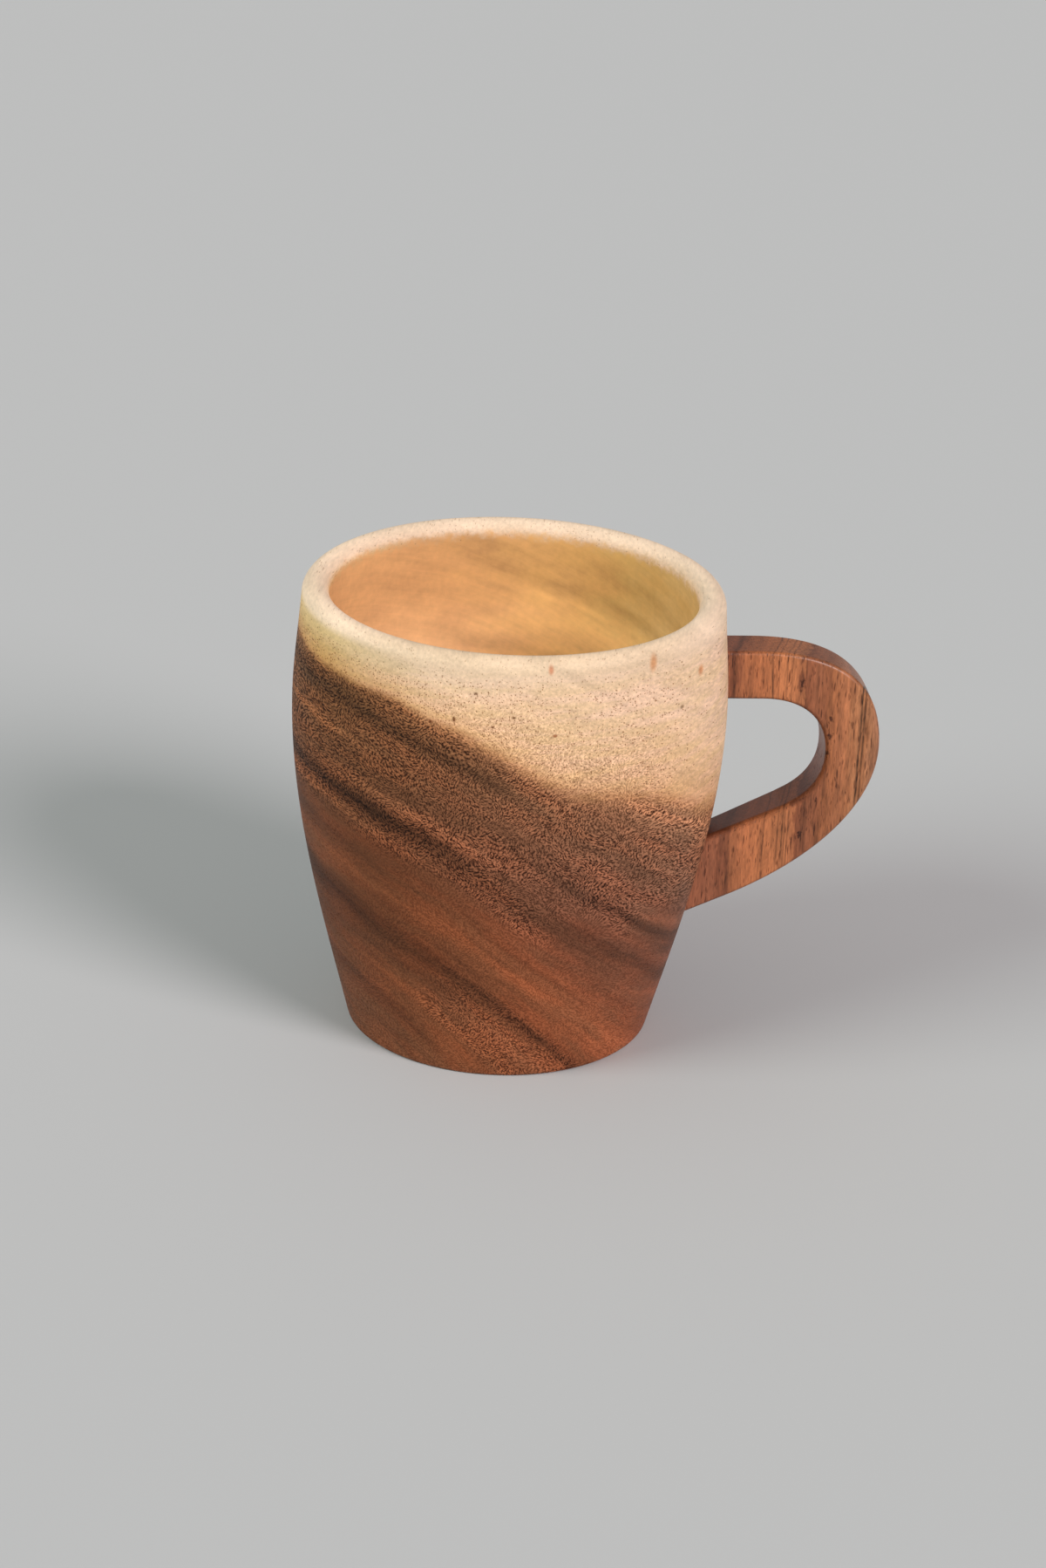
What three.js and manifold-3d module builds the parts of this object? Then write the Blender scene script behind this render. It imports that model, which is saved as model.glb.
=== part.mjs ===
// A turned wooden beer mug: a barrel-shaped body and a sawn handle that two dowel pins hold to it.
// Millimetres, +Z up. The origin is the centre of the base, and the handle points along +X.
import * as THREE from "three";
import { mergeVertices } from "three/addons/utils/BufferGeometryUtils.js";
import Module from "manifold-3d";

// Body, outside
const MUG_HEIGHT = 110;
const BASE_RADIUS = 36.3;
const BASE_FLARE = 14.7; // degrees that the side leans out at the base
const BASE_EDGE = 0.9; // rounding of the edge that it stands on
const BELLY_RADIUS = 51.3;
const BELLY_HEIGHT = 81;
const RIM_RADIUS = 49.6; // where the side turns over into the lip
const RIM_LEAN = 3.4; // degrees that the side leans in at the rim
const SIDE_FULLNESS = 0.34; // how far each stretch of the side keeps to its end tangents

// Body, inside
const RIM_THICKNESS = 6.4; // the lip is a full round of this width
const FOOT_THICKNESS = 8; // of the wall, level with the floor
const FLOOR_THICKNESS = 9;
const FLOOR_FILLET = 14;

// Handle, sawn from one plank
const HANDLE_THICKNESS = 12;
const HANDLE_EDGE = 1.5; // rounding of its long edges
const HANDLE_DROP = 14.4; // from the rim down to the top of the handle
const HANDLE_HEIGHT = 67.3; // from the top down to where the underside meets the body
const UPPER_ARM = 12; // height of the level arm
const LOWER_ARM = 16.5; // width of the sloping arm
const LOWER_ARM_SLOPE = 23.7; // degrees
const FINGER_ROOM = 24; // from the belly to the inside of the bend
const GRIP_WIDTH = 12.8; // of the bend, where it reaches furthest

// The two sides of the bend: the run of its curve along each arm, how full the curve is there, and
// the level where it reaches furthest, from 0 at the lower arm to 1 at the upper arm
const OUTER_BEND = { upperRun: 30.6, upperFullness: 0.665, lowerRun: 35.2, lowerFullness: 0.62, level: 0.49 };
const INNER_BEND = { upperRun: 15.9, upperFullness: 0.63, lowerRun: 10, lowerFullness: 0.655, level: 0.4 };

// Fluted dowel pins, hidden in the joints
const DOWEL_RADIUS = 3;
const DOWEL_FLUTES = 12;
const FLUTE_DEPTH = 0.3;
const DOWEL_CHAMFER = 0.6;
const DOWEL_IN_HANDLE = 11;
const SKIN_BEHIND_DOWEL = 1.8; // wood left between a dowel hole and the inside of the mug

// Clearances, filled with glue on the real mug
const SADDLE_GAP = 0.3; // between the body and the hollowed ends of the handle
const DOWEL_GAP = 0.2; // round each dowel
const DOWEL_END_GAP = 0.4;

// Fineness of the facets
const TURNED_SIDES = 64;
const LOWER_SIDE_STEPS = 12;
const UPPER_SIDE_STEPS = 5;
const BORE_STEPS = 12;
const LIP_STEPS = 8;
const FILLET_STEPS = 6;
const BASE_EDGE_STEPS = 3;
const BEND_STEPS = 12;
const HANDLE_EDGE_STEPS = 3;
const HOLE_SIDES = 24;
const SAME_POINT = 1e-4;

const wasm = await Module();
wasm.setup();

const vector = (x, y) => new THREE.Vector2(x, y);
const slopeOf = (degrees) => Math.tan(THREE.MathUtils.degToRad(degrees));

// Solids for cutting, and geometry back from them
function solidOf(geometry) {
  const bare = geometry.clone();
  bare.deleteAttribute("normal");
  bare.deleteAttribute("uv");
  const merged = mergeVertices(bare, SAME_POINT);
  const vertProperties = new Float32Array(merged.attributes.position.array);
  const triVerts = new Uint32Array(merged.index.array);
  return new wasm.Manifold(new wasm.Mesh({ numProp: 3, vertProperties, triVerts }));
}

function geometryOf(solid) {
  const { vertProperties, triVerts } = solid.getMesh();
  const geometry = new THREE.BufferGeometry();
  geometry.setAttribute("position", new THREE.BufferAttribute(vertProperties, 3));
  geometry.setIndex(new THREE.BufferAttribute(triVerts, 1));
  geometry.computeVertexNormals();
  return geometry;
}

function turned(profile) {
  return new THREE.LatheGeometry(profile, TURNED_SIDES).rotateX(Math.PI / 2);
}

// The side of the body as a line of points, each a radius and a height
const lipRadius = RIM_THICKNESS / 2;
const wallTop = MUG_HEIGHT - lipRadius;
const side = sidePoints();

function sidePoints() {
  const lowerPull = SIDE_FULLNESS * BELLY_HEIGHT;
  const upperPull = SIDE_FULLNESS * (wallTop - BELLY_HEIGHT);
  const belly = vector(BELLY_RADIUS, BELLY_HEIGHT);
  const lower = new THREE.CubicBezierCurve(
    vector(BASE_RADIUS, 0),
    vector(BASE_RADIUS + slopeOf(BASE_FLARE) * lowerPull, lowerPull),
    vector(BELLY_RADIUS, BELLY_HEIGHT - lowerPull),
    belly,
  );
  const upper = new THREE.CubicBezierCurve(
    belly,
    vector(BELLY_RADIUS, BELLY_HEIGHT + upperPull),
    vector(RIM_RADIUS + slopeOf(RIM_LEAN) * upperPull, wallTop - upperPull),
    vector(RIM_RADIUS, wallTop),
  );
  return [...lower.getPoints(LOWER_SIDE_STEPS), ...upper.getPoints(UPPER_SIDE_STEPS).slice(1)];
}

function radiusAt(height) {
  const next = Math.max(1, side.findIndex((point) => point.y >= height));
  const [below, above] = [side[next - 1], side[next]];
  return THREE.MathUtils.mapLinear(height, below.y, above.y, below.x, above.x);
}

function wallAt(height) {
  return THREE.MathUtils.mapLinear(height, FLOOR_THICKNESS, wallTop, FOOT_THICKNESS, RIM_THICKNESS);
}

function boreAt(height) {
  return radiusAt(height) - wallAt(height);
}

// Body: base, eased edge, side, lip, bore, fillet and floor, turned in one profile
function baseEdge() {
  const standing = vector(BASE_RADIUS - BASE_EDGE, 0);
  const corner = vector(BASE_RADIUS, 0);
  const rising = vector(radiusAt(BASE_EDGE), BASE_EDGE);
  return new THREE.QuadraticBezierCurve(standing, corner, rising).getPoints(BASE_EDGE_STEPS);
}

function lip() {
  const round = new THREE.EllipseCurve(RIM_RADIUS - lipRadius, wallTop, lipRadius, lipRadius, 0, Math.PI);
  return round.getPoints(LIP_STEPS);
}

function bore() {
  const filletTop = FLOOR_THICKNESS + FLOOR_FILLET;
  const points = [];
  for (let step = 1; step < BORE_STEPS; step += 1) {
    const height = THREE.MathUtils.lerp(wallTop, filletTop, step / BORE_STEPS);
    points.push(vector(boreAt(height), height));
  }
  const corner = vector(boreAt(FLOOR_THICKNESS), FLOOR_THICKNESS);
  const floorEnd = vector(corner.x - FLOOR_FILLET, FLOOR_THICKNESS);
  const fillet = new THREE.QuadraticBezierCurve(vector(boreAt(filletTop), filletTop), corner, floorEnd);
  return [...points, ...fillet.getPoints(FILLET_STEPS)];
}

function bodySolid() {
  const clearOfEdge = side.filter((point) => point.y > BASE_EDGE && point.y < wallTop);
  const profile = [
    vector(0, 0),
    ...baseEdge(),
    ...clearOfEdge,
    ...lip(),
    ...bore(),
    vector(0, FLOOR_THICKNESS),
  ];
  return solidOf(turned(profile));
}

// Handle: an outline in the plane of the mug's axis, x from the axis and y upwards
const handleTop = MUG_HEIGHT - HANDLE_DROP;
const handleFoot = handleTop - HANDLE_HEIGHT;
const openingTop = handleTop - UPPER_ARM;
const openingReach = BELLY_RADIUS + FINGER_ROOM;
const handleReach = openingReach + GRIP_WIDTH;
const lowerArmHeight = LOWER_ARM / Math.cos(THREE.MathUtils.degToRad(LOWER_ARM_SLOPE));

function underside(x) {
  return handleFoot + slopeOf(LOWER_ARM_SLOPE) * (x - radiusAt(handleFoot));
}

function lowerArmTop(x) {
  return underside(x) + lowerArmHeight;
}

// The curves that carry one side of the handle from its level arm round to its sloping arm
function bendCurves(bend, top, reach, armAt) {
  const corner = vector(reach, armAt(reach));
  const start = vector(reach - bend.upperRun, top);
  const furthest = vector(reach, THREE.MathUtils.lerp(corner.y, top, bend.level));
  const end = vector(reach - bend.lowerRun, armAt(reach - bend.lowerRun));
  const topCorner = vector(reach, top);
  const upper = new THREE.CubicBezierCurve(
    start,
    start.clone().lerp(topCorner, bend.upperFullness),
    furthest.clone().lerp(topCorner, bend.upperFullness),
    furthest,
  );
  const lower = new THREE.CubicBezierCurve(
    furthest,
    furthest.clone().lerp(corner, bend.lowerFullness),
    end.clone().lerp(corner, bend.lowerFullness),
    end,
  );
  return [...upper.getPoints(BEND_STEPS), ...lower.getPoints(BEND_STEPS).slice(1)];
}

// Both arms start well inside the body and are then hollowed to sit on its side
function handleBlank() {
  const root = BASE_RADIUS;
  const outer = bendCurves(OUTER_BEND, handleTop, handleReach, underside);
  const inner = bendCurves(INNER_BEND, openingTop, openingReach, lowerArmTop);
  const outline = new THREE.Shape([
    vector(root, handleTop),
    ...outer,
    vector(root, underside(root)),
    vector(root, lowerArmTop(root)),
    ...inner.reverse(),
    vector(root, openingTop),
  ]);
  const depth = HANDLE_THICKNESS - 2 * HANDLE_EDGE;
  const plank = new THREE.ExtrudeGeometry(outline, {
    depth,
    bevelThickness: HANDLE_EDGE,
    bevelSize: HANDLE_EDGE,
    bevelOffset: -HANDLE_EDGE,
    bevelSegments: HANDLE_EDGE_STEPS,
  });
  return plank.translate(0, 0, -depth / 2).rotateX(Math.PI / 2);
}

function saddleCutter() {
  const proud = side.map((point) => vector(point.x + SADDLE_GAP, point.y));
  return turned([vector(0, 0), ...proud, vector(0, wallTop)]);
}

// Dowels: each lies along X, part in the wall of the body and part in an arm of the handle
function dowelAt(height) {
  const seat = radiusAt(height);
  const inner = seat - (wallAt(height) - SKIN_BEHIND_DOWEL);
  return { height, inner, length: seat + DOWEL_IN_HANDLE - inner };
}

const upperDowel = dowelAt(handleTop - UPPER_ARM / 2);
const lowerDowelMiddle = radiusAt(handleFoot + lowerArmHeight / 2) + DOWEL_IN_HANDLE / 2;
const lowerDowel = dowelAt(underside(lowerDowelMiddle) + lowerArmHeight / 2);

function dowelHole(dowel) {
  const radius = DOWEL_RADIUS + DOWEL_GAP;
  const length = dowel.length + 2 * DOWEL_END_GAP;
  const hole = new THREE.CylinderGeometry(radius, radius, length, HOLE_SIDES).rotateZ(Math.PI / 2);
  return hole.translate(dowel.inner + dowel.length / 2, 0, dowel.height);
}

function dowelGeometry(dowel) {
  const points = [];
  for (let corner = 0; corner < 2 * DOWEL_FLUTES; corner += 1) {
    const radius = DOWEL_RADIUS - (corner % 2) * FLUTE_DEPTH;
    const angle = (Math.PI * corner) / DOWEL_FLUTES;
    points.push(vector(radius * Math.cos(angle), radius * Math.sin(angle)));
  }
  return new THREE.ExtrudeGeometry(new THREE.Shape(points), {
    depth: dowel.length - 2 * DOWEL_CHAMFER,
    bevelThickness: DOWEL_CHAMFER,
    bevelSize: DOWEL_CHAMFER,
    bevelOffset: -DOWEL_CHAMFER,
    bevelSegments: 1,
  });
}

// Assembly
const bodyWood = new THREE.MeshStandardMaterial({ color: 0xb98560, roughness: 0.55, metalness: 0 });
const handleWood = new THREE.MeshStandardMaterial({ color: 0xa5683f, roughness: 0.55, metalness: 0 });
const dowelWood = new THREE.MeshStandardMaterial({ color: 0xd8b88c, roughness: 0.7, metalness: 0 });

function named(name, geometry, material) {
  const mesh = new THREE.Mesh(geometry, material);
  mesh.name = name;
  return mesh;
}

function dowelMesh(name, dowel) {
  const mesh = named(name, dowelGeometry(dowel), dowelWood);
  mesh.rotation.y = Math.PI / 2;
  mesh.position.set(dowel.inner + DOWEL_CHAMFER, 0, dowel.height);
  return mesh;
}

function drilled(solid) {
  return solid.subtract(solidOf(dowelHole(upperDowel))).subtract(solidOf(dowelHole(lowerDowel)));
}

const body = geometryOf(drilled(bodySolid()));
const handle = geometryOf(drilled(solidOf(handleBlank()).subtract(solidOf(saddleCutter()))));

const mug = new THREE.Group();
mug.add(named("mug_body", body, bodyWood));
mug.add(named("handle", handle, handleWood));
mug.add(dowelMesh("upper_dowel", upperDowel));
mug.add(dowelMesh("lower_dowel", lowerDowel));

export default mug;
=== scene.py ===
"""A turned wooden mug with a sawn handle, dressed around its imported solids."""

import math

import bmesh
import bpy
from mathutils import Euler, Matrix, Vector


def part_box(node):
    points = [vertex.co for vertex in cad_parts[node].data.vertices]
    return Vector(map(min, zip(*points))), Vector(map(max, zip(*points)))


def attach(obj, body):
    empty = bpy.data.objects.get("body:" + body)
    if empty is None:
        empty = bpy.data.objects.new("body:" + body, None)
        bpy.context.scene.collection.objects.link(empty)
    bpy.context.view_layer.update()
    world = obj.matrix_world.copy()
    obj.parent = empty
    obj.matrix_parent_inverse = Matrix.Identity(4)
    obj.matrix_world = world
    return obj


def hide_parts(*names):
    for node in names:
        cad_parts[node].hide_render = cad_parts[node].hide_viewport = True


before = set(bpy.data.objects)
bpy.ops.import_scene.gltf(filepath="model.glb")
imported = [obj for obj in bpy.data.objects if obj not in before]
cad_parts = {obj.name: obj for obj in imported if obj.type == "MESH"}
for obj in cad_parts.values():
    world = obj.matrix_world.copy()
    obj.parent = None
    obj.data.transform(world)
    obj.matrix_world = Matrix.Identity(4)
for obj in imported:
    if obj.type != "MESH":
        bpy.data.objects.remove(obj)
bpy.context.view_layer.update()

MM = 0.001

# The body, turned from one block
_, BODY_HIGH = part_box("mug_body")
MUG_HEIGHT = BODY_HIGH.z
BELLY_RADIUS = BODY_HIGH.y
BASE_RADIUS = 36.3 * MM
BASE_FLARE = math.radians(14.7)
BASE_EDGE = 0.9 * MM
SIDE_START = 1.5 * BASE_EDGE
BELLY_HEIGHT = 81 * MM
RIM_RADIUS = 49.6 * MM
RIM_LEAN = math.radians(3.4)
SIDE_FULLNESS = 0.34
RIM_THICKNESS = 6.4 * MM
FOOT_THICKNESS = 8 * MM
FLOOR_THICKNESS = 9 * MM
FLOOR_FILLET = 14 * MM
LIP_RADIUS = RIM_THICKNESS / 2
WALL_TOP = MUG_HEIGHT - LIP_RADIUS

# The handle, sawn from one plank
HANDLE_LOW, HANDLE_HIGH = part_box("handle")
HANDLE_THICKNESS = HANDLE_HIGH.y - HANDLE_LOW.y
HANDLE_TOP = HANDLE_HIGH.z
HANDLE_REACH = HANDLE_HIGH.x
HANDLE_FOOT = 28.3 * MM
UPPER_ARM = 12 * MM
LOWER_ARM = 16.5 * MM
LOWER_ARM_SLOPE = math.radians(23.7)
GRIP_WIDTH = 12.8 * MM
FRONT_EDGE = 1.1 * MM
OPENING_EDGE = 1.8 * MM
BACK_EDGE = 1.2 * MM
SADDLE_GAP = 0.05 * MM

# The rest for the thumb at the back of the lower arm: its depth, and how far out it is full and ends
THUMB_CUT = 2.7 * MM
THUMB_CUT_FULL = 54 * MM
THUMB_CUT_END = 67 * MM
# How much of the darkening goes on the end grain on top: the end grain facing into the opening gets all of
# it, which is darker end grain and painted shade
TOP_DARKENING_SHARE = 0.43

# The two sides of the bend: the run of its curve along each arm, how full the curve is there, and the level
# where it reaches furthest, from 0 at the lower arm to 1 at the upper arm
OUTER_BEND = {
    "upper_run": 30.6 * MM,
    "upper_full": 0.665,
    "lower_run": 35.2 * MM,
    "lower_full": 0.62,
    "level": 0.49,
}
INNER_BEND = {
    "upper_run": 15.9 * MM,
    "upper_full": 0.63,
    "lower_run": 10 * MM,
    "lower_full": 0.655,
    "level": 0.4,
}

# The dowel pins between the two
DOWEL_GAP = 0.2 * MM
DOWEL_END_GAP = 0.4 * MM

# Fineness of the meshes
TURNED_STEPS = 192
LOWER_SIDE_STEPS = 40
UPPER_SIDE_STEPS = 16
BASE_EDGE_STEPS = 5
LIP_STEPS = 16
BORE_STEPS = 30
FILLET_STEPS = 14
BEND_STEPS = 28
EDGE_STEPS = 6
HOLE_SIDES = 24
ROUND = 2 / 3
SAME_POINT = 1e-6
SHARP_EDGE = math.radians(40)

# The log that the block was cut from: its fibres run almost level, towards the front of the mug
FIBRE_TURN = math.radians(-11.1)
FIBRE_TILT = math.radians(7.0)
PITH = Vector((-76, 5, -75)) * MM
LOG_TURN = Euler((math.radians(90) - FIBRE_TILT, 0, FIBRE_TURN))
# The tree of the plank: its fibres run upright in the handle
PLANK_PITH = Vector((-120, 60, 0)) * MM
# The rod of the dowels: its fibres run along X
ROD_PITH = Vector((0, 0, -20)) * MM
ROD_TURN = Euler((0, math.radians(90), 0))

# The camera of the photograph: a long lens, a little tilted, looking down at the mug
LENS = 90.1
SENSOR = 36
VIEW_TURN = math.radians(-6)
VIEW_HEIGHT = math.radians(23.11)
VIEW_ROLL = math.radians(2.57)
VIEW_DISTANCE = 933.7 * MM
AIM_RIGHT = 3.98 * MM
AIM_UP = 59.46 * MM
FAR_END = 50

# The stage
FLOOR_SIZE = 4
FLOOR_GREY = 0.52
FLOOR_ROUGHNESS = 0.8
SKY_STRENGTH = 0.34
SKY_LEFTWARD = (-0.16, 0, 0)


# Curves
def bezier(points, steps):
    """Points along a cubic curve, both ends included."""
    start, pull_a, pull_b, end = (Vector(point) for point in points)
    curve = []
    for count in range(steps + 1):
        t = count / steps
        s = 1 - t
        curve.append(s * s * s * start + 3 * s * s * t * pull_a + 3 * s * t * t * pull_b + t * t * t * end)
    return curve


def eased(start, corner, end, fullness, steps):
    """A curve between two points that is drawn towards the corner between them."""
    return bezier([start, start.lerp(corner, fullness), end.lerp(corner, fullness), end], steps)


def body_side():
    """The outside of the body from base to lip, as radius and height."""
    low = SIDE_FULLNESS * BELLY_HEIGHT
    high = SIDE_FULLNESS * (WALL_TOP - BELLY_HEIGHT)
    belly = (BELLY_RADIUS, BELLY_HEIGHT)
    flare = (BASE_RADIUS + math.tan(BASE_FLARE) * low, low)
    lean = (RIM_RADIUS + math.tan(RIM_LEAN) * high, WALL_TOP - high)
    under_belly = (BELLY_RADIUS, BELLY_HEIGHT - low)
    over_belly = (BELLY_RADIUS, BELLY_HEIGHT + high)
    lower = bezier([(BASE_RADIUS, 0), flare, under_belly, belly], LOWER_SIDE_STEPS)
    upper = bezier([belly, over_belly, lean, (RIM_RADIUS, WALL_TOP)], UPPER_SIDE_STEPS)
    return lower + upper[1:]


SIDE = body_side()


def side_radius(height):
    """Radius of the outside of the body at a height."""
    for below, above in zip(SIDE, SIDE[1:]):
        if above.y >= height:
            return below.x + (above.x - below.x) * (height - below.y) / (above.y - below.y)
    return SIDE[-1].x


def wall(height):
    """Thickness of the wall at a height."""
    share = (height - FLOOR_THICKNESS) / (WALL_TOP - FLOOR_THICKNESS)
    return FOOT_THICKNESS + (RIM_THICKNESS - FOOT_THICKNESS) * share


def bore_radius(height):
    """Radius of the inside at a height."""
    return side_radius(height) - wall(height)


def base_edge():
    """The eased edge that the mug stands on."""
    standing = Vector((BASE_RADIUS - BASE_EDGE, 0))
    corner = Vector((BASE_RADIUS, 0))
    rising = Vector((side_radius(BASE_EDGE), BASE_EDGE))
    return eased(standing, corner, rising, ROUND, BASE_EDGE_STEPS)


def lip():
    """The full-round lip, from its outside to its inside."""
    points = []
    for count in range(LIP_STEPS + 1):
        angle = math.pi * count / LIP_STEPS
        radius = RIM_RADIUS - LIP_RADIUS + LIP_RADIUS * math.cos(angle)
        points.append(Vector((radius, WALL_TOP + LIP_RADIUS * math.sin(angle))))
    return points


def bore():
    """The inside, from under the lip down to the end of the fillet on the floor."""
    fillet_top = FLOOR_THICKNESS + FLOOR_FILLET
    points = []
    for count in range(1, BORE_STEPS):
        height = WALL_TOP + (fillet_top - WALL_TOP) * count / BORE_STEPS
        points.append(Vector((bore_radius(height), height)))
    wall_end = Vector((bore_radius(fillet_top), fillet_top))
    corner = Vector((bore_radius(FLOOR_THICKNESS), FLOOR_THICKNESS))
    floor_end = corner - Vector((FLOOR_FILLET, 0))
    return points + eased(wall_end, corner, floor_end, ROUND, FILLET_STEPS)


def body_profile():
    """The whole turned profile, from the middle of the base round to the middle of the floor."""
    inside = bore()
    base = [Vector((0, 0)), Vector((BASE_RADIUS / 2, 0))]
    side = [point for point in SIDE if SIDE_START < point.y < WALL_TOP]
    floor_points = [Vector((inside[-1].x / 2, FLOOR_THICKNESS)), Vector((0, FLOOR_THICKNESS))]
    return base + base_edge() + side + lip() + inside + floor_points


# Mesh helpers
def spun(profile):
    """A closed turned shape from a profile of radius and height that starts and ends on the axis."""
    shape = bmesh.new()
    ring = [shape.verts.new((point.x, 0, point.y)) for point in profile]
    edges = [shape.edges.new(pair) for pair in zip(ring, ring[1:])]
    bmesh.ops.spin(shape, geom=ring + edges, cent=(0, 0, 0), axis=(0, 0, 1), angle=2 * math.pi,
                   steps=TURNED_STEPS, use_merge=True)
    bmesh.ops.remove_doubles(shape, verts=shape.verts, dist=SAME_POINT)
    bmesh.ops.recalc_face_normals(shape, faces=shape.faces)
    return shape


def finished(name, shape):
    """An object from a mesh under construction, smooth but for its sharp edges."""
    mesh = bpy.data.meshes.new(name)
    shape.to_mesh(mesh)
    shape.free()
    mesh.shade_smooth()
    mesh.set_sharp_from_angle(angle=SHARP_EDGE)
    piece = bpy.data.objects.new(name, mesh)
    bpy.context.scene.collection.objects.link(piece)
    return piece


def cut_away(piece, cutter):
    """Takes one closed shape out of another for good."""
    difference = piece.modifiers.new("cut", "BOOLEAN")
    difference.operation = "DIFFERENCE"
    difference.solver = "EXACT"
    difference.object = cutter
    evaluated = piece.evaluated_get(bpy.context.evaluated_depsgraph_get())
    mesh = bpy.data.meshes.new_from_object(evaluated)
    mesh.set_sharp_from_angle(angle=SHARP_EDGE)
    piece.modifiers.clear()
    old = piece.data
    piece.data = mesh
    bpy.data.meshes.remove(old)
    bpy.data.objects.remove(cutter)


# The pieces
def turned_body():
    """The body, with each point's depth in the bore, in millimetres under the lip."""
    shape = spun(body_profile())
    depth = shape.verts.layers.float.new("depth")
    for vert in shape.verts:
        height = vert.co.z
        in_bore = math.hypot(vert.co.x, vert.co.y) < side_radius(height) - wall(height) / 2
        above_floor = height > FLOOR_THICKNESS / 2
        vert[depth] = (MUG_HEIGHT - height) / MM if in_bore and above_floor else 0
    return finished("turned_body", shape)


def underside(x):
    """Height of the outside of the lower arm."""
    return HANDLE_FOOT + math.tan(LOWER_ARM_SLOPE) * (x - side_radius(HANDLE_FOOT))


def lower_arm_top(x):
    """Height of the lower arm's side that faces the opening."""
    return underside(x) + LOWER_ARM / math.cos(LOWER_ARM_SLOPE)


def bend(shape, top, reach, arm):
    """One side of the handle, from its level arm round to its sloping arm."""
    corner = Vector((reach, arm(reach)))
    top_corner = Vector((reach, top))
    start = Vector((reach - shape["upper_run"], top))
    furthest = corner.lerp(top_corner, shape["level"])
    end = Vector((reach - shape["lower_run"], arm(reach - shape["lower_run"])))
    upper = eased(start, top_corner, furthest, shape["upper_full"], BEND_STEPS)
    lower = eased(furthest, corner, end, shape["lower_full"], BEND_STEPS)
    return upper + lower[1:]


def handle_sides():
    """The outside of the handle and the side that faces its opening, which together make its outline."""
    root = BASE_RADIUS
    opening_top = HANDLE_TOP - UPPER_ARM
    outer = bend(OUTER_BEND, HANDLE_TOP, HANDLE_REACH, underside)
    inner = bend(INNER_BEND, opening_top, HANDLE_REACH - GRIP_WIDTH, lower_arm_top)
    outside = [Vector((root, HANDLE_TOP))] + outer + [Vector((root, underside(root)))]
    opening = [Vector((root, lower_arm_top(root)))] + inner[::-1] + [Vector((root, opening_top))]
    return outside, opening


def outward(outline, place):
    """The direction out of the wood at one point of the outline."""
    along = outline[(place + 1) % len(outline)] - outline[place - 1]
    return Vector((-along.y, along.x)).normalized()


def thumb_cut(point, out):
    """How much lower the rest for the thumb is at the back of the lower arm."""
    share = min(max((THUMB_CUT_END - point.x) / (THUMB_CUT_END - THUMB_CUT_FULL), 0), 1)
    return THUMB_CUT * share * share * (3 - 2 * share) * max(out.y, 0)


def edge_rounding(face, out, in_opening):
    """Radius of a rounded edge on the front face or the back face, wider on the lower side of the opening."""
    if face > 0:
        return BACK_EDGE
    return FRONT_EDGE + (OPENING_EDGE - FRONT_EDGE) * (1 + out.y) / 2 * in_opening


def handle_layers():
    """The outline at each depth of the plank, drawn in where its edges are rounded."""
    outside, opening = handle_sides()
    outline = outside + opening
    turns = [math.pi / 2 * count / EDGE_STEPS for count in range(EDGE_STEPS + 1)]
    layers = []
    for face, turn in [(-1, turn) for turn in turns] + [(1, turn) for turn in reversed(turns)]:
        layer = []
        for place, point in enumerate(outline):
            out = outward(outline, place)
            in_opening = place >= len(outside)
            rounding = edge_rounding(face, out, in_opening)
            depth = face * (HANDLE_THICKNESS / 2 - rounding * (1 - math.cos(turn)))
            backward = 0.5 + depth / HANDLE_THICKNESS
            inward = rounding * (1 - math.sin(turn)) + thumb_cut(point, out) * backward * in_opening
            drawn = point - out * inward
            layer.append(Vector((drawn.x, depth, drawn.y)))
        layers.append(layer)
    return layers


def sawn_handle():
    """The plank, pushed from layer to layer, then hollowed where it sits on the body."""
    first, *others = handle_layers()
    shape = bmesh.new()
    order = shape.verts.layers.int.new("order")
    ring = [shape.verts.new(place) for place in first]
    for count, vert in enumerate(ring):
        vert[order] = count
    face = shape.faces.new(ring)
    for layer in others:
        pushed = bmesh.ops.extrude_face_region(shape, geom=[face, *face.edges])["geom"]
        face = next(item for item in pushed if isinstance(item, bmesh.types.BMFace))
        for vert in face.verts:
            vert.co = layer[vert[order]]
    bmesh.ops.recalc_face_normals(shape, faces=shape.faces)
    # Upward and downward faces get a darkening share: darker end grain everywhere, plus painted shade on the
    # faces in the opening, which get more of it than the top
    end_grain_and_shade = shape.faces.layers.float.new("end_grain_and_shade")
    for face in shape.faces:
        on_top = face.calc_center_median().z > HANDLE_TOP - UPPER_ARM / 2
        face[end_grain_and_shade] = face.normal.z ** 2 * (TOP_DARKENING_SHARE if on_top else 1)
    handle = finished("sawn_handle", shape)
    proud = [Vector((point.x + SADDLE_GAP, point.y)) for point in SIDE]
    saddle = [Vector((0, 0))] + proud + [Vector((0, WALL_TOP))]
    cut_away(handle, finished("saddle", spun(saddle)))
    return handle


def drill(piece, dowel):
    """A hole for a dowel pin, with room for glue round it and at its ends."""
    low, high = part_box(dowel)
    place = Matrix.Translation((low + high) / 2) @ Matrix.Rotation(math.radians(90), 4, "Y")
    radius = (high.z - low.z) / 2 + DOWEL_GAP
    shape = bmesh.new()
    bmesh.ops.create_cone(shape, cap_ends=True, segments=HOLE_SIDES, radius1=radius, radius2=radius,
                          depth=high.x - low.x + 2 * DOWEL_END_GAP, matrix=place)
    cut_away(piece, finished("drill", shape))


# Shader helpers
def srgb(red, green, blue):
    """A colour as it looks on a screen, from 0 to 255, as the linear colour that a shader takes."""
    linear = []
    for value in (red, green, blue):
        share = value / 255
        linear.append(share / 12.92 if share <= 0.04045 else ((share + 0.055) / 1.055) ** 2.4)
    return tuple(linear)


def feed(tree, socket, value):
    """Links a socket to the one that feeds it, or sets it to a plain value."""
    if isinstance(value, bpy.types.NodeSocket):
        tree.links.new(value, socket)
    else:
        socket.default_value = value


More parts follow.
